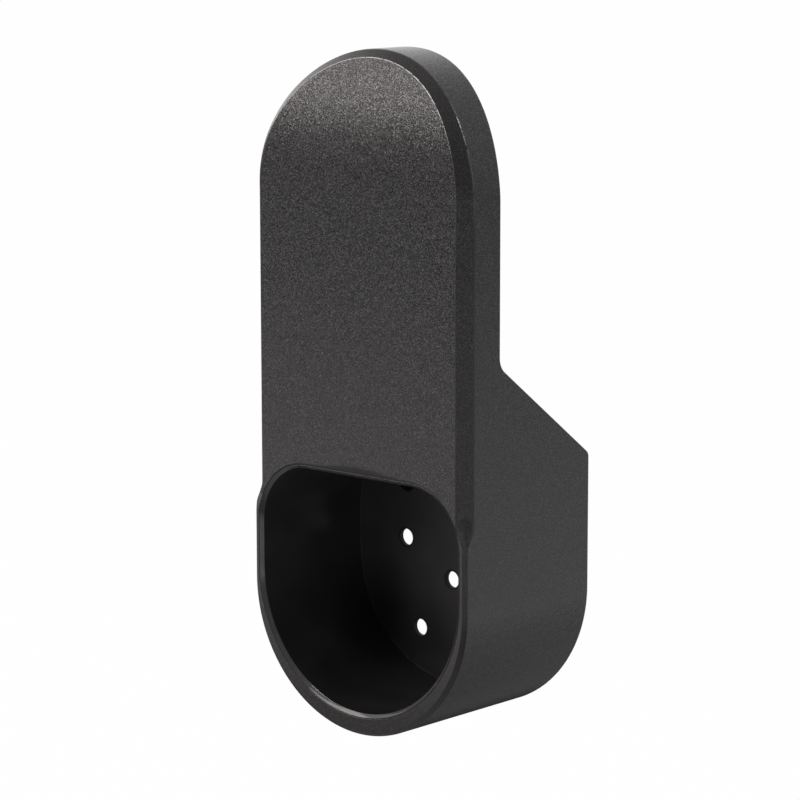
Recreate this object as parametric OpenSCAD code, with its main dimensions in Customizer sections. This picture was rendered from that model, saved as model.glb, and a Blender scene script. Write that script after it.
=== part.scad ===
// Wall holder for the plug of a vehicle charging cable.
// A cup with a flat top takes the plug, and the tall plate in front of the wall keeps the coiled
// cable on the sloping saddle behind it. Millimetres; the wall is the plane y = 0, the front looks
// along -y, and the origin lies midway between the two wall screws.

/* [Overall] */
// Width across the straight sides
width = 70; // [68:0.5:78]
// Height from the lowest point of the cup to the top of the plate
height = 167.5; // [160:0.5:180]
// Depth from the wall to the flat front
depth = 46.4; // [44:0.2:54]

/* [Plate] */
// Thickness of the plate in front of the cable space
plate_thickness = 12.6; // [10.6:0.2:15]
// Height of the part of the plate that curves back, below its top
bend_height = 32.4; // [20:0.2:33.6]
// Outer radius of the curve that leads the top of the plate back
bend_radius = 85.6; // [70:0.2:120]
// Chamfer along the straight sides of the plate
side_chamfer = 3.1; // [2:0.1:3.6]
// Chamfer at the top of the plate
top_chamfer = 2.5; // [1.6:0.1:3.6]

/* [Saddle] */
// Height of the saddle where it meets the plate, above the middle of the cup's round
saddle_front_rise = 58.5; // [54:0.5:66]
// Height of the saddle at the wall, above the middle of the cup's round
saddle_wall_rise = 33.4; // [33:0.1:38]
// Hollow round between plate and saddle
saddle_round = 4.5; // [2:0.5:8]
// Round at the wall end of the saddle
saddle_end_round = 2; // [0.6:0.1:3]

/* [Cup] */
// Rim between mouth and side
rim_side = 2.2; // [1.8:0.1:3.2]
// Rim below the mouth
rim_bottom = 4.7; // [3.6:0.1:7]
// Bevel around the outside of the rim
rim_bevel = 0.9; // [0.5:0.1:1.4]
// Height of the mouth's flat top above the middle of the cup's round
mouth_top_rise = 30.1; // [27:0.1:30.4]
// Corner radius of the mouth at its flat top
mouth_corner = 15.5; // [10:0.5:20]
// Polished round that leads the plug into the cup
lip_round = 1.1; // [0.7:0.1:1.6]
// Corner radius of the rim where it runs out into the plate's chamfer
rim_corner = 9.5; // [7:0.5:14]
// Height of the rim's shoulders above the middle of the cup's round
rim_shoulder_rise = 17.4; // [14:0.1:19]
// Depth of the cup from the front to its floor
cup_depth = 35.4; // [33:0.2:38]
// Draft of the cup's walls, in degrees
cup_draft = 1.5; // [0.5:0.1:2.5]
// Thickness of the cup's floor
floor_thickness = 2; // [1.6:0.1:3]

/* [Walls] */
// Wall of the plate, its sides and the roof of the cup
wall = 3; // [2.4:0.1:3.4]
// Thickness of the ribs behind the plate
rib = 2.4; // [1.8:0.1:3]
// Distance from rib to rib
rib_pitch = 16; // [13:0.5:18]

/* [Wall screws] */
// Distance between the two screw holes
screw_spacing = 30.5; // [28:0.5:33]
// Screw hole diameter
screw_hole = 4.8; // [4:0.1:5.4]
// Height of the screws above the middle of the cup's round
screw_rise = 21.4; // [19:0.1:22.4]
// Outside diameter of the tubes that carry the screws to the wall
screw_tube = 9.6; // [8.6:0.2:10.6]

/* [Floor holes] */
// Diameter of the five holes in the floor
floor_hole = 4.8; // [3.6:0.1:6]
// Centre hole below the middle of the cup's round
centre_drop = 2; // [0:0.1:4]
// Distance between the upper pair of holes
upper_spacing = 31.5; // [28:0.5:36]
// Upper pair above the centre hole
upper_rise = 8.8; // [7:0.1:10.4]
// Distance between the lower pair of holes
lower_spacing = 21.4; // [18:0.2:26]
// Lower pair below the centre hole
lower_drop = 14; // [12:0.1:16]

/* [Hidden] */
$fn = 96;

half = width / 2;
round_z = -screw_rise;
plate_z = round_z + height - width;
top_z = plate_z + half;
bend_z = top_z - bend_height;
front = -depth;
plate_back = front + plate_thickness;

// Saddle line seen from the side
slope_a = [plate_back, round_z + saddle_front_rise];
slope_b = [0, round_z + saddle_wall_rise];
slope = (slope_b - slope_a) / norm(slope_b - slope_a);
turn = acos(-slope[1]);
tangent = tan(turn / 2);

// Mouth and the hollow behind its lip
mouth_half = half - rim_side;
mouth_round_z = round_z + rim_bottom - rim_side;
mouth_top = round_z + mouth_top_rise;
corner_x = mouth_half - mouth_corner;
corner_z = mouth_top - mouth_corner;
roof_z = mouth_top - lip_round + wall;
shoulder_z = round_z + rim_shoulder_rise;
taper = (cup_depth - lip_round) * tan(cup_draft);
floor_front = front + cup_depth;
floor_back = floor_front + floor_thickness;

// Edge chamfer of the plate as a closed ring of cross-sections
arc_steps = 48;
side_steps = 8;
over = 1.2;
arc_angles = [for (i = [0 : arc_steps]) 180 * i / arc_steps];
side_parts = [for (i = [1 : side_steps - 1]) i / side_steps];
stations = concat(
    [for (a = arc_angles) [180 + a, round_z]],
    [for (s = side_parts) [0, round_z + (plate_z - round_z) * s]],
    [for (a = arc_angles) [a, plate_z]],
    [for (s = side_parts) [180, plate_z + (round_z - plate_z) * s]]
);

// How far the front surface lies behind the flat front at height z
function set_back(z) = z <= bend_z ? 0 : bend_radius - sqrt(pow(bend_radius, 2) - pow(z - bend_z, 2));

function chamfer_at(s) = s[1] < plate_z ? side_chamfer : side_chamfer + (top_chamfer - side_chamfer) * sin(s[0]);

function face_point(s, c) = [half - c, front + set_back(s[1] + (half - c) * sin(s[0]))];

function side_point(s, c) = [half, front + set_back(s[1] + half * sin(s[0])) + c];

function section_of(a, b, d) = [
    a - over * d,
    b + over * d,
    [b[0] + over * d[0], front - 2],
    [a[0] - over * d[0], front - 2]
];

function section(s, c) =
    let (a = face_point(s, c), b = side_point(s, c))
    section_of(a, b, (b - a) / norm(b - a));

function place(s, p) = [p[0] * cos(s[0]), p[1], s[1] + p[0] * sin(s[0])];

ring_points = [for (s = stations) for (p = section(s, chamfer_at(s))) place(s, p)];
ring_count = len(stations);

function ring_index(i, k) = 4 * (i % ring_count) + (k % 4);

ring_faces = [
    for (i = [0 : ring_count - 1])
    for (k = [0 : 3])
    for (t = [0, 1])
    t == 0
        ? [ring_index(i, k), ring_index(i, k + 1), ring_index(i + 1, k + 1)]
        : [ring_index(i, k), ring_index(i + 1, k + 1), ring_index(i + 1, k)]
];

module chamfer_ring() {
    polyhedron(points = ring_points, faces = ring_faces, convexity = 6);
}

// Shapes seen from the front, pushed from y0 to y1
module along_y(y0, y1) {
    translate([0, y1, 0])
        rotate([90, 0, 0])
            linear_extrude(y1 - y0)
                children();
}

// Shapes seen from the side, across the whole width
module along_x(reach) {
    translate([-reach, 0, 0])
        rotate([90, 0, 90])
            linear_extrude(2 * reach)
                children();
}

module stadium(r) {
    translate([0, round_z])
        circle(r);
    translate([0, plate_z])
        circle(r);
    translate([-r, round_z])
        square([2 * r, plate_z - round_z]);
}

// Material in the corner between two directions, left by a round of radius r
module corner_piece(p, a, b, r) {
    middle = p + r * (a + b) / sin(turn);
    difference() {
        polygon([p, p + r * tangent * a, middle, p + r * tangent * b]);
        translate(middle)
            circle(r);
    }
}

module side_view() {
    difference() {
        union() {
            polygon([
                [front, round_z - half - 1],
                [front, top_z + 2],
                [front + bend_radius, top_z + 2],
                [front + bend_radius, bend_z],
                [plate_back, bend_z],
                slope_a,
                slope_b,
                [0, round_z - half - 1]
            ]);
            corner_piece(slope_a, [0, 1], slope, saddle_round);
        }
        corner_piece(slope_b, -slope, [0, -1], saddle_end_round);
        difference() {
            translate([front - 1, bend_z])
                square([bend_radius + 2, bend_height + 4]);
            translate([front + bend_radius, bend_z])
                circle(bend_radius, $fn = 240);
        }
        intersection() {
            translate([front + bend_radius, bend_z])
                circle(bend_radius - plate_thickness, $fn = 240);
            translate([front, bend_z])
                square([2 * bend_radius, bend_radius]);
        }
    }
}

module pocket_side_view() {
    translate([front + wall, roof_z])
        square([depth, bend_z - roof_z]);
    intersection() {
        translate([front + bend_radius, bend_z])
            circle(bend_radius - wall, $fn = 240);
        translate([front, bend_z])
            square([depth - wall, bend_height]);
    }
}

module cup_view(inset) {
    r = mouth_half - inset;
    intersection() {
        translate([0, mouth_round_z])
            circle(r);
        translate([-r - 1, mouth_round_z - r - 1])
            square([2 * r + 2, r + 1]);
    }
    translate([-r, mouth_round_z])
        square([2 * r, corner_z - mouth_round_z]);
    for (x = [-corner_x, corner_x])
        translate([x, corner_z])
            circle(mouth_corner - inset);
    translate([-corner_x, mouth_round_z])
        square([2 * corner_x, mouth_top - inset - mouth_round_z]);
}

// Part of the chamfer zone that the rim around the mouth fills again
module rim() {
    reach = side_chamfer + 2 * over;
    side_x = half + over;
    outline = [
        [half - rim_bevel, -1],
        [half - rim_bevel, 0],
        [side_x, rim_bevel + over],
        [side_x, reach],
        [0, reach],
        [0, -1]
    ];
    translate([0, front, round_z])
        rotate([-90, 0, 0])
            rotate_extrude(angle = 180)
                polygon(outline);
    for (m = [0, 1])
        mirror([m, 0, 0]) {
            translate([0, front, round_z])
                linear_extrude(shoulder_z - round_z)
                    polygon(outline);
            translate([half - rim_corner, front, shoulder_z])
                rotate([-90, 0, 0])
                    rotate_extrude()
                        polygon([
                            [0, -1],
                            [rim_corner - rim_bevel, -1],
                            [rim_corner - rim_bevel, 0],
                            [rim_corner, rim_bevel],
                            [rim_corner, reach],
                            [0, reach]
                        ]);
        }
}

// Half section of the hollow: rounded lip, drafted wall and flat floor, for a mouth of radius edge
module cup_section(edge) {
    inner = edge - lip_round;
    polygon([
        [0, -1],
        [inner, -1],
        [inner, lip_round],
        [inner - taper, cup_depth],
        [0, cup_depth]
    ]);
    difference() {
        translate([inner - 0.5, -0.5])
            square(lip_round + 0.5);
        translate([edge, lip_round])
            circle(lip_round);
    }
}

module cup() {
    translate([0, front, mouth_round_z])
        rotate([-90, 0, 0])
            rotate_extrude(angle = 180)
                cup_section(mouth_half);
    for (m = [0, 1])
        mirror([m, 0, 0]) {
            translate([0, front, mouth_round_z])
                linear_extrude(corner_z - mouth_round_z)
                    cup_section(mouth_half);
            translate([corner_x, front, corner_z])
                rotate([-90, 0, 0])
                    rotate([0, 0, -90])
                        rotate_extrude(angle = 90)
                            cup_section(mouth_corner);
        }
    translate([0, front, corner_z])
        along_x(corner_x)
            mirror([1, -1, 0])
                cup_section(mouth_corner);
}

module bore(x, z, d, y0, y1) {
    translate([x, y0, z])
        rotate([-90, 0, 0])
            cylinder(h = y1 - y0, d = d);
}

module pocket() {
    difference() {
        intersection() {
            along_y(front, 1)
                stadium(half - wall);
            along_x(half)
                pocket_side_view();
        }
        for (x = [-rib_pitch, 0, rib_pitch])
            translate([x - rib / 2, front - 1, roof_z - 1])
                cube([rib, depth + 3, height]);
    }
}

module behind_floor() {
    difference() {
        along_y(floor_back, 1)
            cup_view(lip_round);
        for (x = [-1, 1])
            bore(x * screw_spacing / 2, 0, screw_tube, floor_back - 1, 2);
    }
}

module holes() {
    centre_z = round_z - centre_drop;
    y0 = floor_front - 1;
    for (x = [-1, 1]) {
        bore(x * screw_spacing / 2, 0, screw_hole, y0, 1);
        bore(x * upper_spacing / 2, centre_z + upper_rise, floor_hole, y0, floor_back + 1);
        bore(x * lower_spacing / 2, centre_z - lower_drop, floor_hole, y0, floor_back + 1);
    }
    bore(0, centre_z, floor_hole, y0, floor_back + 1);
}

module holder() {
    color([0.2, 0.2, 0.21])
        difference() {
            intersection() {
                along_y(front - 1, 1)
                    stadium(half);
                along_x(half + 1)
                    side_view();
            }
            difference() {
                chamfer_ring();
                rim();
            }
            cup();
            behind_floor();
            pocket();
            holes();
        }
}

holder();
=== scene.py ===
"""Looks of a wall holder for the plug of a vehicle charging cable.

The holder is one moulding. Its skin is worked out in numpy from the sizes below: a stadium outline carries
the face, chamfer, sides and back, and the mouth's outline carries the lip, the drafted hollow and the recess.
The outside has a fine spark-eroded grain whose depth and brightness carry painted light and shade, with rubbed
edges that carry a painted glint at the top; the lip is smooth, the hollow is polished with painted shade towards
its bottom, the holes are dull and dark with painted shade, and the coring behind is plain.
"""

import math

import bmesh
import bpy
import numpy as np
from bpy.props import FloatProperty, FloatVectorProperty, IntProperty, PointerProperty
from mathutils import Matrix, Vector
from mathutils.geometry import delaunay_2d_cdt


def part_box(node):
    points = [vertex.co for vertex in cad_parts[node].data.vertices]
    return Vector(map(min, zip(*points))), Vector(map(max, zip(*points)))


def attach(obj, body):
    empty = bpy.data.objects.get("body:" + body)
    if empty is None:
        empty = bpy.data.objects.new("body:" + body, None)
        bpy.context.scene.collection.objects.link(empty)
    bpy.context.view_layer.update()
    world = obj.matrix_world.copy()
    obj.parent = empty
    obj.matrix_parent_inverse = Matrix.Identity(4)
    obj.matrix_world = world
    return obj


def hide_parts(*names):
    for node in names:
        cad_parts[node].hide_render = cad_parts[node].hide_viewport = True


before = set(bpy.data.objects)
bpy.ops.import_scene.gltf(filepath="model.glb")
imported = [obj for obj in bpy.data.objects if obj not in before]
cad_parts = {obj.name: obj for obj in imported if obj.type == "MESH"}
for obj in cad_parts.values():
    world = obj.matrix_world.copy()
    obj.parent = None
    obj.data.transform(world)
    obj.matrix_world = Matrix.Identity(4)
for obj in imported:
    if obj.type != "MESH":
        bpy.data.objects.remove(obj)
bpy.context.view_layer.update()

bl_info = {
    "name": "Charging plug holder",
    "version": (1, 0, 0),
    "blender": (4, 5, 0),
    "location": "3D View > Sidebar > Holder",
    "description": "Builds a moulded wall holder for a vehicle charging plug, with its finish and a plain studio",
    "category": "Object",
}

NODE = "holder"
MM = 0.001
LOW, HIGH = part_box(NODE)
GRAINED, POLISHED, PLAIN, DULL, RUBBED_GLINT, LIP = range(6)
XY, XZ = [0, 1], [0, 2]

# Rounded corners: largest cut as a share of the shorter side, and how far the guard points lie from the corner
CUT_SHARE, GUARD_REACH, CURVE_STEPS = 0.3, 1.5, 4
# Row at which the first curve of a softened run begins, after its start and a guard point
CURVE_ROW = 2
# Shortest length that is divided by, and the digits at which two heights count as one
TINY, DIGITS = 1e-9, 9
# Strips beside an edge, as multiples of its round or as a share of the room there is
FACE_STRIP, FACE_ROOM = 1.5, 0.25
BACK_STRIP, FLOOR_STRIP, TUBE_STRIP = 2.4, 3.0, 2.0
RECESS_OUT, RECESS_IN = 2.0, 1.5
# Rounds of the chamfer in edge rounds: its middle, and the growth of its outer edge where it closes in
MIDDLE_ROUND, EDGE_GROWTH = 3.0, 12.0
# Groove beside the lip: widest share of the rim, depth as a share of its width, rows across it
GROOVE_ROOM, GROOVE_DEPTH, GROOVE_ROWS = 0.5, 0.5, 9
# Lean of the lip against the front, from its outer to its inner edge, and rows across it
LIP_LEAN, LIP_ROWS = (math.radians(42.0), math.radians(51.0)), 5
# Rounds at the holes and ribs, and how deep the ribs are sunk into the wall, in millimetres
BORE_ROUND, TUBE_ROUND, RIB_ROUND, RIB_SINK = 0.12, 0.3, 0.3, 0.5
# Steps in each stretch of a straight side, from the cup's middle up
SIDE_STEPS = (12, 36, 6, 2, 10, 14, 12, 24)
# Points along each stretch of the mouth, round each hole, across the pocket and along each stretch of a rib
MOUTH_POINTS, HOLE_POINTS, POCKET_POINTS, RIB_POINTS = 1200, 48, 25, 13
# Points closer than this are one: in metres, and in millimetres for flat fills
MERGE, MERGE_FLAT = 2e-7, 1e-7
SHARP_ANGLE = math.radians(38)


def length(name, description, millimetres):
    """A size in metres whose default is written in millimetres."""
    return FloatProperty(
        name=name, description=description, default=millimetres * MM, min=0.0, unit="LENGTH", subtype="DISTANCE"
    )


def angle(name, description, degrees):
    """An angle whose default is written in degrees."""
    return FloatProperty(name=name, description=description, default=math.radians(degrees), subtype="ANGLE")


def paint(name, description, default):
    """A colour in linear light."""
    return FloatVectorProperty(
        name=name, description=description, default=default, subtype="COLOR", min=0.0, max=1.0
    )


class HolderSizes(bpy.types.PropertyGroup):
    """Sizes of the moulding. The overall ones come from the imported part."""

    width: length("Width", "Across the straight sides", (HIGH.x - LOW.x) / MM)
    height: length("Height", "Lowest point of the cup to the top of the plate", (HIGH.z - LOW.z) / MM)
    depth: length("Depth", "Wall to the flat front", (HIGH.y - LOW.y) / MM)
    drop: length("Drop", "Lowest point of the cup below the wall screws", -LOW.z / MM)
    plate_thickness: length("Plate", "Thickness of the plate", 12.6)
    bend_height: length("Bend height", "Part of the plate that curves back, below its top", 32.4)
    bend_radius: length("Bend radius", "Outer radius of the curve at the top of the plate", 85.6)
    side_chamfer: length("Side chamfer", "Chamfer along the straight sides", 3.1)
    top_chamfer: length("Top chamfer", "Chamfer at the top of the plate", 1.9)
    saddle_front_rise: length("Saddle front", "Saddle at the plate, above the cup's middle", 58.5)
    saddle_wall_rise: length("Saddle wall", "Saddle at the wall, above the cup's middle", 33.4)
    saddle_round: length("Saddle hollow", "Hollow round between plate and saddle", 4.5)
    saddle_end_round: length("Saddle end", "Round at the wall end of the saddle", 2.0)
    rim_side: length("Rim side", "Rim between mouth and side", 2.0)
    rim_bottom: length("Rim bottom", "Rim below the mouth", 4.7)
    rim_bevel: length("Rim bevel", "Bevel around the outside of the rim", 0.9)
    ridge_top_rise: length("Ridge top", "Where the chamfer starts to swell, above the cup's middle", 24.0)
    ridge_end_rise: length("Ridge end", "Where the swelling is full, above the cup's middle", 18.5)
    edge_top_rise: length("Edge top", "Where the chamfer's edges start to close in, above the cup's middle", 21.4)
    edge_end_rise: length("Edge end", "Where the rim's bevel is reached, above the cup's middle", 16.0)
    mouth_top_rise: length("Mouth top", "Flat top of the mouth above the cup's middle", 30.1)
    mouth_corner: length("Mouth corner", "Corner radius at the flat top", 15.5)
    lip_slope: length("Lip", "Smooth slope that leads into the hollow", 0.8)
    lip_line: length("Lip line", "Width of the fine groove between grain and lip", 0.34)
    cup_depth: length("Hollow depth", "Front to the floor of the hollow", 35.4)
    floor_thickness: length("Floor", "Thickness of the floor", 1.3)
    floor_round: length("Floor round", "Round between the hollow's wall and floor", 0.16)
    wall: length("Wall", "Wall of plate, sides and roof", 3.0)
    rib: length("Rib", "Thickness of the ribs behind the plate", 2.4)
    rib_pitch: length("Rib pitch", "Distance from rib to rib", 16.0)
    screw_spacing: length("Screw spacing", "Between the two screw holes", 30.5)
    screw_tube: length("Screw tube", "Outside diameter of the screw tubes", 9.6)
    screw_hole: length("Screw hole", "Diameter of the screw holes", 4.8)
    floor_hole: length("Floor hole", "Diameter of the floor holes", 4.3)
    centre_drop: length("Centre hole", "Centre hole below the cup's middle", 2.0)
    upper_spacing: length("Upper spacing", "Between the upper pair of holes", 31.0)
    upper_rise: length("Upper rise", "Upper pair above the centre hole", 8.8)
    lower_spacing: length("Lower spacing", "Between the lower pair of holes", 21.4)
    lower_drop: length("Lower drop", "Lower pair below the centre hole", 14.0)
    edge_round: length("Edge round", "Small round on the outer edges", 0.3)
    back_round: length("Back round", "Round on the edges behind", 0.5)
    draft: angle("Draft", "Draft of the hollow's walls", 1.5)
    arc_steps: IntProperty(name="Arc steps", description="Stations along each quarter round", default=72, min=12)
    face_rows: IntProperty(name="Face rows", description="Rows between mouth and outer edge", default=48, min=8)


class HolderFinish(bpy.types.PropertyGroup):
    """Colours of the plastic and scale of its grain."""

    grain_colour: paint("Grained plastic", "Colour of the grained outside", (0.0187, 0.0178, 0.0182))
    facet_colour: paint("Grain facets", "Colour of the grain's brightest facets", (0.208, 0.197, 0.200))
    polish_colour: paint("Polished plastic", "Colour of the polished hollow", (0.054, 0.050, 0.055))
    plain_colour: paint("Plain plastic", "Colour of the coring behind", (0.024, 0.024, 0.025))
    lip_colour: paint("Lip", "Colour of the smooth lip", (0.125, 0.121, 0.123))
    grain_size: length("Grain size", "Distance from one grain to the next", 0.15)
    grain_tilt: FloatProperty(
        name="Grain tilt", description="How far the grains lean", default=0.1, min=0.0, max=2.0
    )


class StageLook(bpy.types.PropertyGroup):
    """Camera of the photograph and the floor."""

    camera_place: FloatVectorProperty(
        name="Camera", description="Place of the camera", default=(0.50889, -0.59323, 0.15287), unit="LENGTH"
    )
    heading: angle("Heading", "Turn of the camera round the part", 42.123)
    tilt: angle("Tilt", "Camera's look down", 9.563)
    roll: angle("Roll", "Turn of the picture", -0.074)
    lens: FloatProperty(name="Lens", description="Focal length in millimetres", default=141.24)
    floor_drop: length("Floor drop", "Floor below the lowest point of the holder", 250.0)
    floor_colour: paint("Floor", "Colour of the pale floor", (0.55, 0.55, 0.55))


class Form:
    """Places on the holder in millimetres, worked out from its sizes.

    The wall is y = 0 and the front looks along -y.
    """

    def __init__(self, sizes):
        names = [name for name in sizes.__annotations__ if name not in ("draft", "arc_steps", "face_rows")]
        for name in names:
            setattr(self, name, getattr(sizes, name) / MM)
        self.draft = math.tan(sizes.draft)
        self.arc_steps = sizes.arc_steps
        self.face_rows = sizes.face_rows
        self.half = self.width / 2
        self.round_z = self.half - self.drop
        self.plate_z = self.round_z + self.height - self.width
        self.bend_z = self.plate_z + self.half - self.bend_height
        self.front = -self.depth
        self.plate_back = self.front + self.plate_thickness
        self.mouth_half = self.half - self.rim_side
        self.mouth_round_z = self.round_z + self.rim_bottom - self.rim_side
        self.mouth_top = self.round_z + self.mouth_top_rise
        self.corner_x = self.mouth_half - self.mouth_corner
        self.corner_z = self.mouth_top - self.mouth_corner
        self.roof_z = self.mouth_top - self.lip_slope + self.wall
        self.ridge = (self.round_z + self.ridge_end_rise, self.round_z + self.ridge_top_rise)
        self.closing = (self.round_z + self.edge_end_rise, self.round_z + self.edge_top_rise)
        self.floor_front = self.front + self.cup_depth
        self.floor_back = self.floor_front + self.floor_thickness
        self.back_strip = BACK_STRIP * self.back_round
        self.floor_strip = FLOOR_STRIP * self.floor_round
        self.slope_a = np.array([self.plate_back, self.round_z + self.saddle_front_rise])
        self.slope_b = np.array([0.0, self.round_z + self.saddle_wall_rise])
        self.slope = (self.slope_b - self.slope_a) / np.linalg.norm(self.slope_b - self.slope_a)
        turn = math.acos(-self.slope[1])
        reach = math.tan(turn / 2)
        self.hollow_high = self.slope_a[1] + self.saddle_round * reach
        self.hollow_low = self.slope_a[1] + self.saddle_round * reach * self.slope[1]
        self.end_high = self.slope_b[1] - self.saddle_end_round * reach * self.slope[1]
        self.end_low = self.slope_b[1] - self.saddle_end_round * reach

    def set_back(self, z, inside=0.0):
        """How far a layer lies behind the flat front at height z: a flat sheet that runs over into a round."""
        up = np.maximum(z - self.bend_z, 0.0)
        return self.bend_radius - np.sqrt((self.bend_radius - inside) ** 2 - up ** 2)

    def back_line(self, z):
        """Rear edge of the sides at height z: wall, end round, slope, hollow round, then the back of the plate."""
        slope = self.slope_a[0] + (self.slope_a[1] - z) * self.slope[0] / -self.slope[1]
        r = self.saddle_round
        hollow = self.plate_back + r - np.sqrt(np.maximum(r ** 2 - (z - self.hollow_high) ** 2, 0.0))
        r = self.saddle_end_round
        end = -r + np.sqrt(np.maximum(r ** 2 - (z - self.end_low) ** 2, 0.0))
        plate = self.front + self.set_back(z, self.plate_thickness)
        return np.select(
            [z <= self.end_low, z < self.end_high, z < self.hollow_low, z < self.hollow_high],
            [np.zeros_like(z), end, slope, hollow],
            plate,
        )


class Outline:
    """Stations once round the holder, from the lowest point up the right side, over the top and down the left.

    Each station has a base on the middle line and a direction, so a point at distance r lies at
    base + r * direction. The mouth has a point and a direction at every station too: where the ray from the hub
    meets its outline.
    """

    def __init__(self, form):
        quarter = np.linspace(0.0, math.pi / 2, form.arc_steps + 1)
        heights = self.side_heights(form)
        turn = np.concatenate([quarter[:-1] - math.pi / 2, np.zeros(len(heights)), quarter[1:]])
        base = np.concatenate(
            [np.full(form.arc_steps, form.round_z), heights, np.full(form.arc_steps, form.plate_z)]
        )
        self.last = len(turn) - 1
        self.count = 2 * self.last
        mirror = np.arange(self.last - 1, 0, -1)
        self.dx = np.concatenate([np.cos(turn), -np.cos(turn[mirror])])
        self.dx[[0, self.last]] = 0.0
        self.dz = np.concatenate([np.sin(turn), np.sin(turn[mirror])])
        self.base = np.concatenate([base, base[mirror]])
        self.roof = form.arc_steps + int(np.argmin(np.abs(heights - form.roof_z)))
        self.half = form.half
        self.set_mouth(form)

    @staticmethod
    def side_heights(form):
        """Heights of the stations on a straight side, close together where the edge or the back line curves."""
        marks = [
            form.round_z, form.closing[0], form.ridge[1], form.roof_z, form.end_low, form.end_high,
            form.hollow_low, form.hollow_high, form.plate_z,
        ]
        stretches = zip(marks, marks[1:], SIDE_STEPS)
        return np.unique(np.concatenate([np.linspace(a, b, n + 1) for a, b, n in stretches]).round(DIGITS))

    def set_mouth(self, form):
        """Point and outward direction of the mouth's outline at each station, along rays from a hub inside it.

        The right half of the outline is a quarter round, a straight side, a corner round and half the flat top.
        """
        fine = np.linspace(0.0, 1.0, MOUTH_POINTS)
        even = np.ones(MOUTH_POINTS)
        bend = fine * math.pi / 2
        down = bend - math.pi / 2
        px = np.concatenate([
            form.mouth_half * np.cos(down), form.mouth_half * even,
            form.corner_x + form.mouth_corner * np.cos(bend), form.corner_x * (1 - fine),
        ])
        pz = np.concatenate([
            form.mouth_round_z + form.mouth_half * np.sin(down),
            form.mouth_round_z + (form.corner_z - form.mouth_round_z) * fine,
            form.corner_z + form.mouth_corner * np.sin(bend), form.mouth_top * even,
        ])
        turn = np.concatenate([down, 0.0 * even, bend, math.pi / 2 * even])
        hub = (form.mouth_top + form.round_z) / 2
        ray = np.arctan2(pz - hub, px)
        half = slice(0, self.last + 1)
        aim = np.arctan2(self.base[half] + self.half * self.dz[half] - hub, self.half * self.dx[half])
        mirror = np.arange(self.last - 1, 0, -1)
        x, z, t = (np.interp(aim, ray, row) for row in (px, pz, turn))
        x[[0, self.last]] = 0.0
        t[[0, self.last]] = (-math.pi / 2, math.pi / 2)
        self.mouth_x = np.concatenate([x, -x[mirror]])
        self.mouth_z = np.concatenate([z, z[mirror]])
        self.mouth_dx = np.concatenate([np.cos(t), -np.cos(t[mirror])])
        self.mouth_dx[[0, self.last]] = 0.0
        self.mouth_dz = np.concatenate([np.sin(t), np.sin(t[mirror])])

    def height_at(self, inset):
        """Height of the point that lies inset from the outline."""
        return self.base + (self.half - inset) * self.dz

    def carry(self, profile):
        """Points of a profile of (inset, y) rows at every station of the outline."""
        inset, y = profile[..., 0], profile[..., 1]
        return np.stack([(self.half - inset) * self.dx, y, self.height_at(inset)], -1)

    def carry_mouth(self, profile):
        """Points of a profile of (inset, y) rows at every station of the mouth."""
        inset, y = profile[..., 0], profile[..., 1]
        x = self.mouth_x - inset * self.mouth_dx
        z = self.mouth_z - inset * self.mouth_dz
        return np.stack([x, np.broadcast_to(y, x.shape), z], -1)


def soften(corners, radius):
    """A run of corner points with every inner corner turned into a short curve.

    Each corner b between a and c becomes the parabola that starts and ends a cut before and after b, and one
    guard point beyond each end keeps the flats flat. The cut is the radius, or less where a side is short.
    There is one radius for all corners, or a list with one for each, which may change from station to station.
    """
    share = np.linspace(0.0, 1.0, CURVE_STEPS + 1)[:, None, None]
    rows = [corners[0][None]]
    sizes = radius if isinstance(radius, list) else [radius] * (len(corners) - 2)
    for a, b, c, size in zip(corners, corners[1:], corners[2:], sizes):
        before, after = a - b, c - b
        long_before = np.linalg.norm(before, axis=-1, keepdims=True)
        long_after = np.linalg.norm(after, axis=-1, keepdims=True)
        cut = np.minimum(size, CUT_SHARE * np.minimum(long_before, long_after))
        before = before / np.maximum(long_before, TINY) * cut
        after = after / np.maximum(long_after, TINY) * cut
        curve = b + (1 - share) ** 2 * before + share ** 2 * after
        rows += [b[None] + GUARD_REACH * before, curve, b[None] + GUARD_REACH * after]
    rows.append(corners[-1][None])
    return np.concatenate(rows)


def pairs(inset, y, count):
    """One corner of a profile: inset and y at every station."""
    return np.stack([np.broadcast_to(inset, count), np.broadcast_to(y, count)], -1).astype(float)


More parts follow.
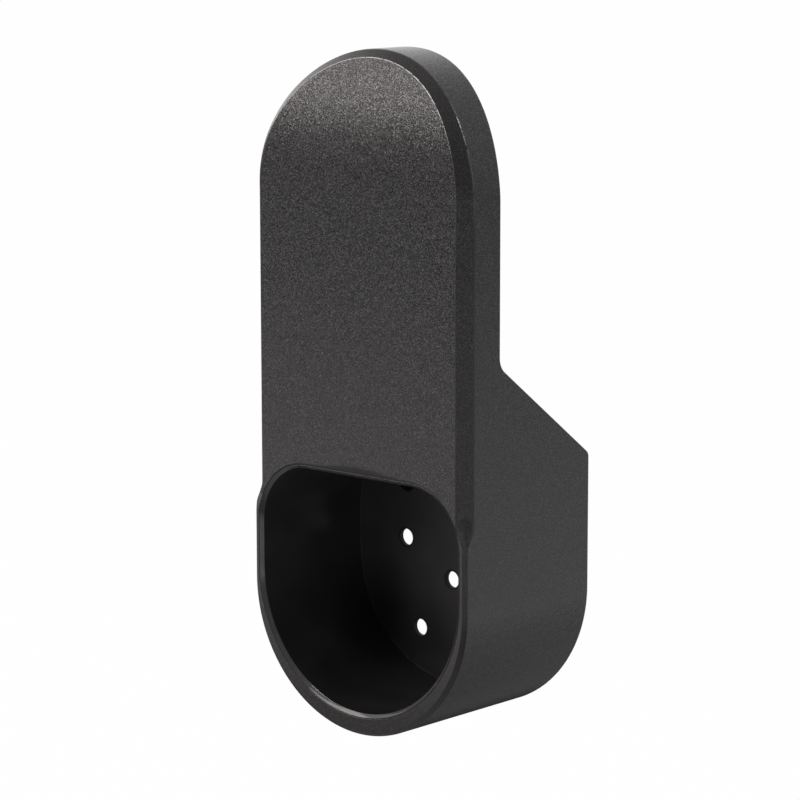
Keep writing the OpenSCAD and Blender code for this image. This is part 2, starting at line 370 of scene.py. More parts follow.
class Skin:
    """Collects patches of points and faces, each with its finish, and makes one closed mesh of them."""

    def __init__(self):
        self.points, self.faces, self.finish, self.total = [], [], [], 0

    def add(self, points, faces, finish):
        """A patch: its points, its faces as rows of point numbers, and the finish of all its faces."""
        points = points.reshape(-1, 3)
        self.points.append(points)
        self.faces += (faces + self.total).tolist()
        self.finish += [finish] * len(faces)
        self.total += len(points)

    def grid(self, points, finish, closed):
        """Quads between the rows and columns of an array of points; closed joins the last column to the first."""
        rows, columns = points.shape[:2]
        index = np.arange(rows * columns).reshape(rows, columns)
        ahead = np.roll(index, -1, axis=1)
        if not closed:
            index, ahead = index[:, :-1], ahead[:, :-1]
        quads = np.stack([index[:-1], ahead[:-1], ahead[1:], index[1:]], -1)
        self.add(points, quads.reshape(-1, 4), finish)

    def flat(self, loops, finish, axes):
        """Triangles that fill a flat region inside the first loop and outside the others.

        A triangle belongs to the region when a ray from its middle crosses the loops an odd number of times.
        """
        points = np.concatenate(loops)
        starts = np.cumsum([0] + [len(loop) for loop in loops])
        edges = np.concatenate([
            np.stack([np.arange(a, b), np.roll(np.arange(a, b), -1)], -1) for a, b in zip(starts, starts[1:])
        ])
        plane = points[:, axes]
        found = delaunay_2d_cdt(plane.tolist(), edges.tolist(), [], 1, MERGE_FLAT)
        faces = np.array([ids[0] for ids in found[3]])[np.array(found[2])]
        middle = plane[faces].mean(axis=1)[:, None]
        a, b = plane[edges[:, 0]], plane[edges[:, 1]]
        level = (a[:, 1] > middle[..., 1]) != (b[:, 1] > middle[..., 1])
        rise = np.where(b[:, 1] == a[:, 1], 1.0, b[:, 1] - a[:, 1])
        reach = a[:, 0] + (b[:, 0] - a[:, 0]) * (middle[..., 1] - a[:, 1]) / rise
        within = (level & (middle[..., 0] < reach)).sum(axis=1) % 2 == 1
        self.add(points, faces[within], finish)

    def mesh(self, name):
        """The closed mesh in metres, with doubles merged, faces turned outwards and hard corners kept sharp."""
        made = bpy.data.meshes.new(name)
        made.from_pydata((np.concatenate(self.points) * MM).tolist(), [], self.faces)
        made.polygons.foreach_set("material_index", np.array(self.finish, np.int32))
        work = bmesh.new()
        work.from_mesh(made)
        bmesh.ops.remove_doubles(work, verts=work.verts, dist=MERGE)
        bmesh.ops.recalc_face_normals(work, faces=work.faces)
        work.to_mesh(made)
        work.free()
        made.shade_smooth()
        made.set_sharp_from_angle(angle=SHARP_ANGLE)
        return made


def ease(value, low, high):
    """0 below low, 1 above high and a smooth S between."""
    share = np.clip((value - low) / (high - low), 0.0, 1.0)
    return share * share * (3 - 2 * share)


def chamfer_width(form, outline):
    """Chamfer at every station: even along the sides, narrowing with the sine of the angle to the top."""
    top = np.where(outline.base >= form.plate_z, np.maximum(outline.dz, 0.0), 0.0)
    return form.side_chamfer + (form.top_chamfer - form.side_chamfer) * top


def outer_corners(form, outline):
    """Corners of the outer section at every station, and the width of the face between mouth and chamfer.

    The corners are the face's edge, the middle and the end of the chamfer, the side and a strip of the back.
    Above the cup the chamfer has its full width and below it the rim's small bevel. Between the two its middle
    swells outwards first and its edges close in a little lower, each along a smooth S.
    """
    n = outline.count
    chamfer = chamfer_width(form, outline)
    edge = form.rim_bevel + (chamfer - form.rim_bevel) * ease(outline.base, *form.closing)
    middle = (form.rim_bevel + (chamfer - form.rim_bevel) * ease(outline.base, *form.ridge)) / 2

    def front_at(inset):
        return form.front + form.set_back(outline.height_at(inset))

    edge_x = (form.half - edge) * outline.dx
    gap = np.hypot(edge_x - outline.mouth_x, outline.height_at(edge) - outline.mouth_z)
    flat = edge + np.minimum(FACE_STRIP * form.edge_round, FACE_ROOM * gap)
    corners = [
        pairs(flat, front_at(flat), n),
        pairs(edge, front_at(edge), n),
        pairs(middle, front_at(middle) + middle, n),
        pairs(0.0, front_at(0.0) + edge, n),
        pairs(0.0, form.back_line(outline.height_at(0.0)), n),
        pairs(form.back_strip, form.back_line(outline.height_at(form.back_strip)), n),
    ]
    return corners, gap


def add_outside(skin, form, outline):
    """Face between mouth and edge, then the outer section carried once round. Returns the ring on the back.

    Beside the lip the face has a fine groove, a squared sine across, narrower where the rim is narrow. The two
    edges of the chamfer are rubbed, with a painted glint at the top, and the rest is grained.
    """
    corners, gap = outer_corners(form, outline)
    closing = ease(outline.base, *form.closing)[:, None]
    outer = form.edge_round * (1 + EDGE_GROWTH * closing * (1 - closing))
    fronts = soften(corners[:5], [form.edge_round, MIDDLE_ROUND * form.edge_round, outer])
    backs = soften(corners[3:], form.back_round)
    section = outline.carry(np.concatenate([fronts[:-1], backs[1:]]))
    turn = len(fronts) // 3
    first, last = slice(CURVE_ROW, turn), slice(2 * turn + CURVE_ROW, 3 * turn)
    line = np.minimum(form.lip_line, GROOVE_ROOM * gap)
    across = np.linspace(0.0, 1.0, GROOVE_ROWS)[::-1, None]
    sunk = form.front + GROOVE_DEPTH * line * np.sin(math.pi * across) ** 2
    groove = outline.carry_mouth(np.stack([-line * across, sunk], -1))
    share = np.linspace(0.0, 1.0, form.face_rows + 1)[:, None, None]
    face = (1 - share) * groove[0] + share * section[0]
    face[..., 1] = form.front + form.set_back(face[..., 2])
    skin.grid(np.concatenate([groove[::-1], face[1:-1], section[:first.start + 1]]), GRAINED, True)
    skin.grid(section[first], RUBBED_GLINT, True)
    skin.grid(section[first.stop - 1:last.start + 1], GRAINED, True)
    skin.grid(section[last], RUBBED_GLINT, True)
    skin.grid(section[last.stop - 1:], GRAINED, True)
    return section[-1]


def add_hollow(skin, form, outline):
    """Lip, drafted wall, round and a strip of floor, carried once round the mouth. Returns the strip's inner loop.

    The lip is a piece of an arc that leans a little more towards the hollow, stretched to its width and depth.
    """
    n = outline.count
    lean = np.linspace(*LIP_LEAN, LIP_ROWS)[:, None] + np.zeros(n)
    lip = np.stack([np.sin(lean), 1 - np.cos(lean)], -1)
    lip = (lip - lip[0]) / (lip[-1] - lip[0]) * form.lip_slope + np.array([0.0, form.front])
    end = form.lip_slope + (form.cup_depth - form.lip_slope) * form.draft
    corners = [
        lip[-1],
        pairs(end, form.floor_front, n),
        pairs(end + form.floor_strip, form.floor_front, n),
    ]
    wall = outline.carry_mouth(soften(corners, form.floor_round))
    skin.grid(outline.carry_mouth(lip), LIP, True)
    skin.grid(wall, POLISHED, True)
    return wall[-1]


def ring(x, z, profile):
    """Points of a profile of (radius, y) rows turned about an axis along y through x, z."""
    turn = np.linspace(0.0, 2 * math.pi, HOLE_POINTS, endpoint=False)
    radius, y = profile[:, 0][:, None], profile[:, 1][:, None]
    across, up = x + radius * np.cos(turn), z + radius * np.sin(turn)
    return np.stack([across, np.broadcast_to(y, across.shape), up], -1)


def turned(corners, radius):
    """Profile of (radius, y) corners with rounded corners, for ring()."""
    return soften([np.array([c], float) for c in corners], radius)[:, 0]


def hole_places(form):
    """Centres of the screw holes and of the five floor holes."""
    centre = form.round_z - form.centre_drop
    screws = [(side * form.screw_spacing / 2, 0.0) for side in (-1, 1)]
    floor = [(0.0, centre)]
    floor += [(side * form.upper_spacing / 2, centre + form.upper_rise) for side in (-1, 1)]
    floor += [(side * form.lower_spacing / 2, centre - form.lower_drop) for side in (-1, 1)]
    return screws, floor


def add_floor(skin, form, front_loop, back_loop):
    """Floor of the hollow with its holes, and the screw tubes that run from it to the wall."""
    front, back, edge = form.floor_front, form.floor_back, form.back_round
    screws, holes = hole_places(form)
    r = form.floor_hole / 2
    bore = turned([(r + edge, front), (r, front), (r, back), (r + edge, back)], BORE_ROUND)
    r, tube = form.screw_hole / 2, form.screw_tube / 2
    sleeve = turned(
        [(r + edge, front), (r, front), (r, 0.0), (tube, 0.0), (tube, back), (tube + TUBE_STRIP * edge, back)],
        TUBE_ROUND,
    )
    rings = [ring(x, z, bore) for x, z in holes] + [ring(x, z, sleeve) for x, z in screws]
    for points in rings:
        skin.grid(points, DULL, True)
    skin.flat([front_loop] + [points[0] for points in rings], POLISHED, XZ)
    skin.flat([back_loop] + [points[-1] for points in rings], PLAIN, XZ)


def add_recess(skin, form, outline):
    """Wall of the recess behind the floor, carried round the mouth. Returns its loops at wall and floor."""
    n = outline.count
    inset = form.lip_slope
    corners = [
        pairs(inset - RECESS_OUT * form.back_round, 0.0, n),
        pairs(inset, 0.0, n),
        pairs(inset, form.floor_back, n),
        pairs(inset + RECESS_IN * form.back_round, form.floor_back, n),
    ]
    loop = outline.carry_mouth(soften(corners, form.back_round))
    skin.grid(loop, PLAIN, True)
    return loop[0], loop[-1]


def add_pocket(skin, form, outline, back_ring):
    """Coring behind the plate: back edge, inner wall, skin of the plate and roof of the cup.

    The skin of the plate is drawn straight across from the right half of the inner wall to the left half.
    Returns the loop of the flat back that meets the wall.
    """
    upper = np.arange(outline.roof, outline.count - outline.roof + 1)
    wall, strip = form.wall, form.back_strip
    floor_inset = wall + form.floor_strip

    def inside_at(inset):
        return form.front + form.set_back(outline.height_at(inset), wall)

    n = outline.count
    corners = [
        pairs(strip, form.back_line(outline.height_at(strip)), n),
        pairs(wall, form.back_line(outline.height_at(wall)), n),
        pairs(wall, inside_at(wall), n),
        pairs(floor_inset, inside_at(floor_inset), n),
    ]
    section = outline.carry(soften(corners, form.back_round))[:, upper]
    skin.grid(section, PLAIN, False)
    inner = section[-1]
    rows = len(upper) // 2 + 1
    right, left = inner[:rows], inner[::-1][:rows]
    share = np.linspace(0.0, 1.0, POCKET_POINTS)[:, None, None]
    sheet = (1 - share) * right + share * left
    skin.grid(sheet, PLAIN, False)
    roof = np.concatenate([section[CURVE_ROW:, 0], sheet[1:-1, 0], section[CURVE_ROW:, -1][::-1]])
    skin.flat([roof], PLAIN, XY)
    down = np.arange(outline.roof, -1, -1)
    up = np.arange(outline.count - 1, outline.count - outline.roof - 1, -1)
    loop = back_ring[np.concatenate([down, up])]
    return np.concatenate([loop, section[1:CURVE_ROW + 1, -1], section[CURVE_ROW:0:-1, 0]])


def add_ribs(skin, form):
    """Three ribs behind the plate: a box section with eased edges whose back follows the saddle and the plate."""
    side = form.rib / 2
    reach = form.half - form.wall + RIB_SINK
    for x in (-form.rib_pitch, 0.0, form.rib_pitch):
        top = form.plate_z + math.sqrt(reach ** 2 - (abs(x) + side) ** 2)
        marks = [form.roof_z, form.end_low, form.end_high, form.hollow_low, form.hollow_high, form.bend_z, top]
        z = np.unique(np.concatenate([np.linspace(a, b, RIB_POINTS) for a, b in zip(marks, marks[1:])]))
        back = form.back_line(z)
        front = form.front + form.set_back(z, form.wall) - RIB_SINK
        across = x + np.array([-side, -side, RIB_ROUND - side, side - RIB_ROUND, side, side])
        y = np.stack([front, back - RIB_ROUND, back, back, back - RIB_ROUND, front])
        points = np.stack([np.broadcast_to(across[:, None], y.shape), y, np.broadcast_to(z, y.shape)], -1)
        points = points.transpose(1, 0, 2)
        skin.grid(points, PLAIN, True)
        ends = np.concatenate([points[0], points[-1]])
        skin.add(ends, np.arange(len(ends)).reshape(2, -1), PLAIN)


class Wire:
    """One output of a material's node. Sums, differences and products of wires add Math nodes."""

    def __init__(self, tree, socket=None):
        self.tree, self.socket = tree, socket

    def node(self, kind, settings=None, sockets=None, out=0):
        """Any node: its type, its settings, the values or wires of its sockets, and which output is wanted."""
        made = self.tree.nodes.new(kind)
        for name, value in (settings or {}).items():
            setattr(made, name, value)
        for name, value in (sockets or {}).items():
            if isinstance(value, Wire):
                self.tree.links.new(value.socket, made.inputs[name])
            else:
                made.inputs[name].default_value = value
        return Wire(self.tree, made.outputs[out] if made.outputs else None)

    def math(self, operation, first, second):
        """One Math node on two wires or numbers."""
        return self.node("ShaderNodeMath", {"operation": operation}, {0: first, 1: second})

    def __add__(self, other):
        return self.math("ADD", self, other)

    __radd__ = __add__

    def __sub__(self, other):
        return self.math("SUBTRACT", self, other)

    def __rsub__(self, other):
        return self.math("SUBTRACT", other, self)

    def __mul__(self, other):
        return self.math("MULTIPLY", self, other)

    __rmul__ = __mul__

    def cube(self):
        """The wire's third power."""
        return self * self * self

    def span(self, low, high):
        """0 below low, 1 above high and an even ramp between."""
        return self.node(
            "ShaderNodeMapRange", {"clamp": True}, {"Value": self, "From Min": low, "From Max": high}
        )

    def axis(self, name):
        """One coordinate of a vector: X, Y or Z."""
        return self.node("ShaderNodeSeparateXYZ", {}, {0: self}, name)

    def vector(self, operation, second=None, out="Vector"):
        """One Vector Math node on this vector and, if given, a second."""
        sockets = {0: self} if second is None else {0: self, 1: second}
        return self.node("ShaderNodeVectorMath", {"operation": operation}, sockets, out)

    def noise(self, scale, detail):
        """Cloudy noise about 0.5 at this place, with scale clouds to the metre."""
        return self.node(
            "ShaderNodeTexNoise", {"noise_dimensions": "3D"}, {"Vector": self, "Scale": scale, "Detail": detail}
        )

    def tint(self, colour, amount):
        """A colour made lighter or darker by a wire."""
        return self.node("ShaderNodeVectorMath", {"operation": "SCALE"}, {0: tuple(colour), "Scale": amount})

    def mix(self, first, second):
        """The first colour where the wire is 0, the second where it is 1."""
        return self.node("ShaderNodeMix", {"data_type": "RGBA"}, {0: self, 6: first, 7: second}, 2)

    def bump(self, strength, distance):
        """A normal that follows this height."""
        sockets = {"Height": self, "Strength": strength, "Distance": distance}
        return self.node("ShaderNodeBump", {}, sockets, "Normal")


def between(first, last, share):
    """The first value where the share is 0, the last where it is 1, and in proportion between."""
    return first + (last - first) * share


def opaque(rgb):
    """A colour with full cover."""
    return (*rgb, 1.0)


def emptied(owner):
    """The start of wires in the emptied node tree of a material or a world."""
    owner.use_nodes = True
    owner.node_tree.nodes.clear()
    return Wire(owner.node_tree)


def plastic(name, build):
    """A material whose one Principled shader gets what build returns: values and wires by socket."""
    material = bpy.data.materials.new(name)
    start = emptied(material)
    place = start.node("ShaderNodeTexCoord", out="Object")
    shader = start.node("ShaderNodeBsdfPrincipled", {}, build(start, place), "BSDF")
    start.node("ShaderNodeOutputMaterial", {}, {"Surface": shader})
    return material


# Detail of soft and of crisp noise
SOFT, CRISP = 1.0, 2.0
# Gloss of the outside, the hollow and the holes
OUTSIDE_GLOSS, HOLLOW_GLOSS, HOLE_GLOSS = 0.14, 0.36, 0.12
# Cosine to the front, and heights in metres, between which the grain and its brightness change as painted light
# and shade, and where the painted shade at the rim's bottom sets in
FRONT_FACING, GRAIN_HEIGHT, RIM_SHADE_HEIGHT = (0.85, 1.0), (-0.03, 0.06), (-0.03, -0.052)
# Depth of the grain: share on the sides, near the cup and at the top, set as painted light and shade that follow
# how the light falls
SIDE_DEPTH, LOW_DEPTH, TOP_DEPTH = 0.4, 0.3, 0.92
# Mean brightness on sides and front, the painted light added near the cup on each, and the painted shade that
# darkens the rim's bottom
SIDE_MEAN, FRONT_MEAN, SIDE_PAINTED_LIGHT, FRONT_PAINTED_LIGHT, RIM_PAINTED_SHADE = 0.235, 0.25, 0.045, 0.13, 0.16
# The mean of the cube of an even chance, and the middle of a chance or a noise
CUBE_MEAN, MIDDLE = 0.25, 0.5
# Strength of the dark plastic without and with a bright facet, and the lean of most grains and of a few
DARK_RANGE, LEAN_RANGE = (0.4, 2.8), (0.8, 4.8)
# Soft patches of the grain: clouds to the metre, and their part in colour and roughness
GRAIN_CLOUDS, CLOUD_TINT, CLOUD_ROUGH = 70.0, 0.2, 0.06
GRAIN_ROUGH = (0.17, 0.22)


def grained_plastic(finish):
    """Spark-eroded anthracite: small grains, each with its own brightness and its own slight tilt.

    A grain's brightness is a mean plus the grain's depth times the cube of a chance, less that cube's mean. The
    grain is deepest on the upper front, shallow on the sides and thinner towards the cup, where the mean rises:
    this is painted light and shade that follows how the light falls. Painted shade darkens the bottom of the rim.
    """

    def build(start, place):
        pitch = 1.0 / finish.grain_size
        grain = start.node("ShaderNodeTexVoronoi", {"feature": "F1"}, {"Vector": place, "Scale": pitch}, "Color")
        chance, odd = (
            start.node("ShaderNodeSeparateColor", {}, {"Color": grain}, band) for band in ("Red", "Green")
        )
        clouds = place.noise(GRAIN_CLOUDS, CRISP) - MIDDLE
        even = start.node("ShaderNodeNewGeometry", out="Normal")
        front = even.vector("DOT_PRODUCT", (0.0, -1.0, 0.0), "Value").span(*FRONT_FACING)
        height, low = place.axis("Z").span(*GRAIN_HEIGHT), place.axis("Z").span(*RIM_SHADE_HEIGHT)
        # Painted light and shade: the grain's depth and mean brightness follow facing and height as the light
        # falls
        depth = between(SIDE_DEPTH, 1.0, front) * between(LOW_DEPTH, TOP_DEPTH, height)
        mean = between(SIDE_MEAN, FRONT_MEAN, front) + between(SIDE_PAINTED_LIGHT, FRONT_PAINTED_LIGHT, front) * (1 - height)
        # Painted shade on the front-facing bottom of the rim
        mean = mean - RIM_PAINTED_SHADE * front * low
        facet = ((chance.cube() - CUBE_MEAN) * depth + mean).span(0.0, 1.0)
        dark = start.tint(finish.grain_colour, between(*DARK_RANGE, facet) + CLOUD_TINT * clouds)
        odd = odd.cube()
        lean = grain.vector("SUBTRACT", (MIDDLE, MIDDLE, MIDDLE))
        amount = finish.grain_tilt * between(*LEAN_RANGE, odd * odd)
        lean = start.node("ShaderNodeVectorMath", {"operation": "SCALE"}, {0: lean, "Scale": amount})
        return {
            "Base Color": facet.mix(dark, opaque(finish.facet_colour)),
            "Metallic": facet,
            "Roughness": between(*GRAIN_ROUGH, chance) + CLOUD_ROUGH * clouds,
            "Normal": lean.vector("ADD", even).vector("NORMALIZE"),
            "Specular IOR Level": OUTSIDE_GLOSS,
        }

    return plastic("grained_plastic", build)


# Polished hollow: waves, haze and dust to the metre, their strengths, and the painted shade at the bottom
WAVES, WAVE_BUMP, HAZE, DUST = 38.0, (0.3, 0.001), 60.0, 1900.0
CLEAR_TINT, HAZE_TINT, DUST_TINT, HAZE_ROUGH = 0.35, 1.2, 0.2, (0.26, 0.42)
HOLLOW_SHADE_HEIGHT, HOLLOW_PAINTED_SHADE = (-0.05, -0.02), 0.3


def polished_plastic(finish):
    """Polished black: a gloss that dulls in soft patches, with faint flow waves and fine dust.

    Painted shade darkens it towards the bottom.
    """

    def build(start, place):
        haze = place.noise(HAZE, SOFT)
        # Painted shade that darkens the hollow towards its bottom
        unshaded = place.axis("Z").span(*HOLLOW_SHADE_HEIGHT)
        amount = CLEAR_TINT + HAZE_TINT * haze + DUST_TINT * place.noise(DUST, SOFT)
        return {
            "Base Color": start.tint(finish.polish_colour, amount * between(HOLLOW_PAINTED_SHADE, 1.0, unshaded)),
            "Roughness": between(*HAZE_ROUGH, haze),
            "Normal": place.noise(WAVES, SOFT).bump(*WAVE_BUMP),
            "Specular IOR Level": HOLLOW_GLOSS,
        }

    return plastic("polished_plastic", build)


# Plain coring: fine texture and broad patches to the metre, their strengths, and the index of refraction
FINE, FINE_BUMP, FINE_ROUGH = 1500.0, (0.3, 0.00002), 0.08
BROAD, BROAD_TINT, BROAD_ROUGH, PLAIN_INDEX = 45.0, (0.85, 1.15), (0.36, 0.48), 1.5


def plain_plastic(finish):
    """Tool-finished coring: satin with a fine even texture and broad soft patches."""

    def build(start, place):
        fine, broad = place.noise(FINE, CRISP), place.noise(BROAD, CRISP)
        return {
            "Base Color": start.tint(finish.plain_colour, between(*BROAD_TINT, broad)),
            "Roughness": between(*BROAD_ROUGH, broad) + FINE_ROUGH * fine,
            "Normal": fine.bump(*FINE_BUMP),
            "IOR": PLAIN_INDEX,
        }

    return plastic("plain_plastic", build)


# Rubbed edges: breaks to the metre and where they show, heights of the painted glint at the top, and the tone from
# the smooth edges to the painted glint
BREAKS, BREAK_EDGE, GLINT_HEIGHT = 900.0, (0.3, 0.5), (0.07, 0.095)
EDGE_TONE_AND_GLINT, EDGE_ROUGH = (0.25, 1.0), (0.18, 0.26)


def rubbed_glint_plastic(finish):
    """Edges of the chamfer: smooth, with a painted glint at the top made by lighter, more metallic small breaks.
    """

    def build(start, place):
        breaks = place.noise(BREAKS, SOFT)
        # Painted glint: lighter, metallic breaks on the edges at the top
        shine = between(*EDGE_TONE_AND_GLINT, place.axis("Z").span(*GLINT_HEIGHT) * breaks.span(*BREAK_EDGE))
        return {
            "Base Color": shine.mix(opaque(finish.grain_colour), opaque(finish.facet_colour)),
            "Metallic": shine,
            "Roughness": between(*EDGE_ROUGH, breaks),
            "Specular IOR Level": OUTSIDE_GLOSS,
        }

    return plastic("rubbed_glint_plastic", build)


# Lip: patches of wear to the metre, their strengths, and the shine
WEAR, WEAR_TINT, WEAR_ROUGH, LIP_SHINE = 260.0, (0.8, 1.2), (0.12, 0.16), 0.44


def lip_plastic(finish):
    """Lip of the cup: smooth, and rubbed to an almost even shine by the plug."""

    def build(start, place):
        wear = place.noise(WEAR, CRISP)
        return {
            "Base Color": start.tint(finish.lip_colour, between(*WEAR_TINT, wear)),
            "Metallic": LIP_SHINE,
            "Roughness": between(*WEAR_ROUGH, wear),
            "Specular IOR Level": OUTSIDE_GLOSS,
        }

    return plastic("lip_plastic", build)


# Holes: fine texture to the metre and its strengths, with the tint kept dark as painted shade in the holes
HOLE_FINE, HOLE_SHADE_TINT, HOLE_ROUGH = 1800.0, (0.5, 0.8), (0.5, 0.7)


def dull_plastic(finish):
    """Walls of the holes: dull, and dark with painted shade, with a fine even texture."""

    def build(start, place):
        fine = place.noise(HOLE_FINE, CRISP)
        return {
            # Painted shade: the holes' walls are kept darker than the hollow
            "Base Color": start.tint(finish.polish_colour, between(*HOLE_SHADE_TINT, fine)),
            "Roughness": between(*HOLE_ROUGH, fine),
            "Specular IOR Level": HOLE_GLOSS,
        }

    return plastic("dull_plastic", build)


class HOLDER_OT_moulding(bpy.types.Operator):
    """Build the one-piece moulding with its grained, rubbed, polished, plain and dull finishes, which carry
    painted light, shade and glint
    """

    bl_idname = "holder.moulding"
    bl_label = "Moulding"

    def execute(self, context):
        form = Form(context.scene.holder_sizes)
        outline = Outline(form)
        skin = Skin()
        back_ring = add_outside(skin, form, outline)
        front_loop = add_hollow(skin, form, outline)
        recess_loop, floor_loop = add_recess(skin, form, outline)
        add_floor(skin, form, front_loop, floor_loop)
        wall_loop = add_pocket(skin, form, outline, back_ring)
        skin.flat([wall_loop, recess_loop], PLAIN, XZ)
        add_ribs(skin, form)
        piece = bpy.data.objects.new("holder_moulding", skin.mesh("holder_moulding"))
        context.scene.collection.objects.link(piece)
        finish = context.scene.holder_finish
        for make in (grained_plastic, polished_plastic, plain_plastic, dull_plastic, rubbed_glint_plastic, lip_plastic):
            piece.data.materials.append(make(finish))
        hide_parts(NODE)
        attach(piece, "root")
        return {"FINISHED"}


# Nearest and farthest distance that the camera sees, in metres
CLIP = (0.05, 60.0)
# Soft lamps that face a point on the holder: name, place and size in metres, power in watts, colour
AIM_POINT = (0.0, 0.0, 0.04)
WHITE, WARM = (1.0, 1.0, 1.0), (1.0, 0.985, 0.945)
LAMPS = (
    ("softbox", (-0.82, -0.92, 0.86), (1.2, 1.1), 13.2, WARM),
    ("overhead", (-0.23, -0.5, 1.06), (0.4, 0.08), 1.1, WHITE),
    ("right", (0.72, 0.18, 0.95), (0.18, 0.18), 1.6, WHITE),
)
# Floor: half its width in metres, and the share of plain white in what the camera sees of it
FLOOR_HALF, CAMERA_WHITE = 12.0, 0.99
# Pool that mirrors see on the floor: metres where it starts and fades, brightness before and far off
POOL_START, POOL_FADE, POOL_DARK, POOL_FAR = (0.9, 1.7), (2.0, 4.2), 0.08, 0.4
# Behind the holder the pool starts nearer by the lead, and at the left there it is shaded
REAR, REAR_LEAD, LEFT, LEFT_SHADE = (-0.2, 0.3), 0.71, (0.1, -0.25), 0.94
# Faint light right below the front
NEAR, NEAR_LIGHT = (0.32, 0.55), 0.35
# Room: how dim it is behind the camera and overhead, and where it falls off
ROOM_FALL, ROOM_DIM, OVERHEAD, OVERHEAD_DIM = (-0.7, 0.5), 0.15, (0.45, 0.85), 0.4


def add_camera(scene, look):
    """Camera whose axes are right, up and back: back turns by the heading and leans up by the tilt."""
    back = np.array([
        math.sin(look.heading) * math.cos(look.tilt),
        -math.cos(look.heading) * math.cos(look.tilt),
        math.sin(look.tilt),
    ])
    right = np.array([math.cos(look.heading), math.sin(look.heading), 0.0])
    up = np.cross(back, right)
    turned_right = math.cos(look.roll) * right + math.sin(look.roll) * up
    turned_up = math.cos(look.roll) * up - math.sin(look.roll) * right
    lens = bpy.data.cameras.new("camera")
    lens.lens = look.lens
    lens.clip_start, lens.clip_end = CLIP
    camera = bpy.data.objects.new("camera", lens)
    axes = np.stack([turned_right, turned_up, back], -1)
    camera.matrix_world = Matrix.Translation(look.camera_place) @ Matrix(axes.tolist()).to_4x4()
    scene.collection.objects.link(camera)
    scene.camera = camera


def add_lamp(scene, name, place, size, watts, colour):
    """Rectangular soft lamp at place that faces the holder."""
    light = bpy.data.lights.new(name, "AREA")
    light.shape = "RECTANGLE"
    light.size, light.size_y = size
    light.energy, light.color = watts, colour
    lamp = bpy.data.objects.new(name, light)
    lamp.location = place
    aim = np.array(place) - np.array(AIM_POINT)
    level = math.hypot(aim[0], aim[1])
    lamp.rotation_euler = (math.atan2(level, aim[2]), 0.0, math.atan2(aim[1], aim[0]) + math.pi / 2)
    scene.collection.objects.link(lamp)


def rays(start, kind):
    """1 for rays of a kind, such as Camera or Glossy, and 0 for others."""
    return start.node("ShaderNodeLightPath", out=f"Is {kind} Ray")


def add_floor_plane(scene, look):
    """Pale floor below the holder, which the camera sees nearly white with the shadow.

    Mirrors see a wide white pool that starts at a distance, is shaded at the back left and fades far off, and a
    faint light right below the front.
    """
    drop = LOW.z - look.floor_drop
    corners = [(x * FLOOR_HALF, y * FLOOR_HALF, drop) for x, y in ((-1, -1), (1, -1), (1, 1), (-1, 1))]
    mesh = bpy.data.meshes.new("floor")
    mesh.from_pydata(corners, [], [list(range(len(corners)))])
    floor = bpy.data.objects.new("floor", mesh)
    scene.collection.objects.link(floor)
    material = bpy.data.materials.new("floor")
    start = emptied(material)
    place = start.node("ShaderNodeTexCoord", out="Object")
    away = place.vector("LENGTH", out="Value")
    behind, left = place.axis("Y").span(*REAR), place.axis("X").span(*LEFT)
    pool = between(POOL_DARK, 1.0, (away + REAR_LEAD * behind).span(*POOL_START))
    pool = pool * between(1.0, POOL_FAR, away.span(*POOL_FADE)) * (1 - LEFT_SHADE * left * behind)
    pool = pool + NEAR_LIGHT * (1 - away.span(*NEAR)) * (1 - behind)
    camera = rays(start, "Camera")
    mirror = (rays(start, "Glossy") + rays(start, "Transmission")).span(0.0, 1.0)
    matt = start.node("ShaderNodeBsdfDiffuse", {}, {"Color": opaque(look.floor_colour)})
    white = start.node("ShaderNodeEmission", {}, {"Color": camera + mirror * pool, "Strength": 1.0})
    seen = CAMERA_WHITE * camera + mirror
    mix = start.node("ShaderNodeMixShader", {}, {0: seen, 1: matt, 2: white})
    start.node("ShaderNodeOutputMaterial", {}, {"Surface": mix})
    mesh.materials.append(material)


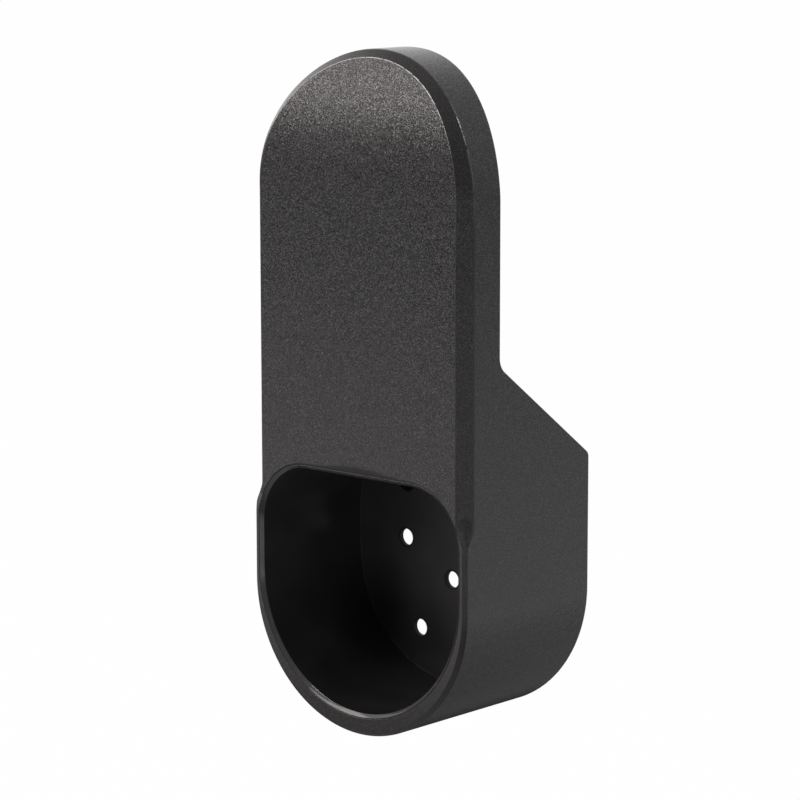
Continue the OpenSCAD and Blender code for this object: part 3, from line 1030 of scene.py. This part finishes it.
def add_world(scene, look):
    """White behind the holder, falling off to a dim room behind the camera and overhead."""
    world = bpy.data.worlds.new("studio")
    scene.world = world
    start = emptied(world)
    way = start.node("ShaderNodeTexCoord", out="Generated")
    behind = (-math.sin(look.heading), math.cos(look.heading), 0.0)
    facing = way.vector("DOT_PRODUCT", behind, "Value").span(*ROOM_FALL)
    above = way.axis("Z").span(*OVERHEAD)
    room = between(ROOM_DIM, 1.0, facing) * between(1.0, OVERHEAD_DIM, above)
    camera = rays(start, "Camera")
    strength = camera + (1 - camera) * room
    back = start.node("ShaderNodeBackground", {}, {"Color": opaque(WHITE), "Strength": strength})
    start.node("ShaderNodeOutputWorld", {}, {"Surface": back})


class HOLDER_OT_stage(bpy.types.Operator):
    """Set the photograph's camera, soft light, white surroundings and a pale floor"""

    bl_idname = "holder.stage"
    bl_label = "Stage"

    def execute(self, context):
        scene, look = context.scene, context.scene.holder_stage
        add_camera(scene, look)
        add_world(scene, look)
        add_floor_plane(scene, look)
        for lamp in LAMPS:
            add_lamp(scene, *lamp)
        scene.view_settings.view_transform = "Standard"
        return {"FINISHED"}


class HOLDER_PT_panel(bpy.types.Panel):
    """Sidebar list of the holder's operators, sizes, finishes and stage"""

    bl_idname = "HOLDER_PT_panel"
    bl_label = "Charging plug holder"
    bl_space_type = "VIEW_3D"
    bl_region_type = "UI"
    bl_category = "Holder"

    def draw(self, context):
        column = self.layout.column()
        for operator in OPERATORS:
            column.operator(operator.bl_idname)
        for group in (context.scene.holder_sizes, context.scene.holder_finish, context.scene.holder_stage):
            for name in group.__annotations__:
                column.prop(group, name)


OPERATORS = (HOLDER_OT_moulding, HOLDER_OT_stage)
CLASSES = (HolderSizes, HolderFinish, StageLook) + OPERATORS + (HOLDER_PT_panel,)


def register():
    for cls in CLASSES:
        bpy.utils.register_class(cls)
    bpy.types.Scene.holder_sizes = PointerProperty(type=HolderSizes)
    bpy.types.Scene.holder_finish = PointerProperty(type=HolderFinish)
    bpy.types.Scene.holder_stage = PointerProperty(type=StageLook)


def unregister():
    del bpy.types.Scene.holder_stage
    del bpy.types.Scene.holder_finish
    del bpy.types.Scene.holder_sizes
    for cls in reversed(CLASSES):
        bpy.utils.unregister_class(cls)


def main():
    register()
    bpy.ops.holder.moulding()
    bpy.ops.holder.stage()


if __name__ == "__main__":
    main()
